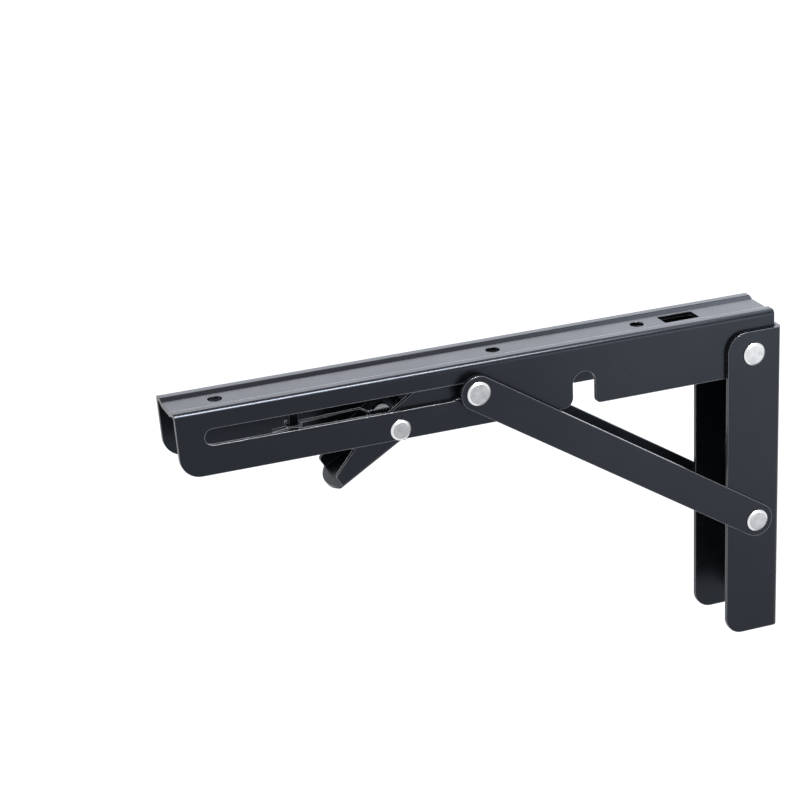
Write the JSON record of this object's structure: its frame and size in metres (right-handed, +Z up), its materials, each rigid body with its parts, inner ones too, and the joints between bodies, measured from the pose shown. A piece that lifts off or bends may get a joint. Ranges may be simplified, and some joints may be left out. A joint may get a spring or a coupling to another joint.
{
  "type": "drop leaf table bracket",
  "caption": "Folding drop-leaf bracket: channel rail with a screw groove, slotted sides, diagonal strut bars, wall channel and a sprung release lever.",
  "frame": {"origin": "centre of the middle wall screw hole, on the face of the wall plate that lies against the wall", "axes": "+X out from the wall along the opened rail, +Y across the bracket, +Z up"},
  "size_m": [0.3031, 0.043, 0.1688],
  "materials": {
    "coated_steel": "charcoal satin powder coat on pressed steel",
    "plated_steel": "bright zinc plate",
    "spring_wire": "drawn spring wire"
  },
  "bodies": {
    "wall_bracket": {"wall_plate": "coated_steel", "rail_rivet_near": "plated_steel", "rail_rivet_far": "plated_steel", "foot_spacer": "plated_steel"},
    "shelf_rail": {"rail": "coated_steel", "lever_rivet_near": "plated_steel", "lever_rivet_far": "plated_steel", "spring_anchor": "coated_steel", "lever_spring": "spring_wire"},
    "strut": {"strut_bar_near": "coated_steel", "strut_bar_far": "coated_steel", "foot_rivet": "plated_steel", "top_rivet_near": "plated_steel", "top_rivet_far": "plated_steel"},
    "slider": {"sliding_pin_near": "plated_steel", "sliding_pin_far": "plated_steel"},
    "release_lever": {"lever": "coated_steel"}
  },
  "joints": [
    {"name": "rail_fold", "type": "hinge", "parent": "wall_bracket", "child": "shelf_rail", "pos_m": [0.0153, 0, 0.0687], "axis": [0, 1, 0], "range_deg": [0, 90]},
    {"name": "strut_swing", "type": "hinge", "parent": "wall_bracket", "child": "strut", "pos_m": [0.014, 0, -0.0186], "axis": [0, 1, 0], "range_deg": [0, 120.15]},
    {"name": "pin_slide", "type": "slide", "parent": "shelf_rail", "child": "slider", "axis": [1, 0, 0], "range_m": [0, 0.11592]},
    {"name": "lever_release", "type": "hinge", "parent": "shelf_rail", "child": "release_lever", "pos_m": [0.1973, 0, 0.0623], "axis": [0, -1, 0], "range_deg": [0, 14], "stiffness_Nm_per_rad": 0.05, "springref_deg": -17.19, "deforming": ["lever_spring"]}
  ],
  "couplings": [
    {"joint": "strut_swing", "follows": "rail_fold", "ratio": 1.335},
    {"joint": "pin_slide", "follows": "rail_fold", "m_per_rad": 0.073791}
  ]
}
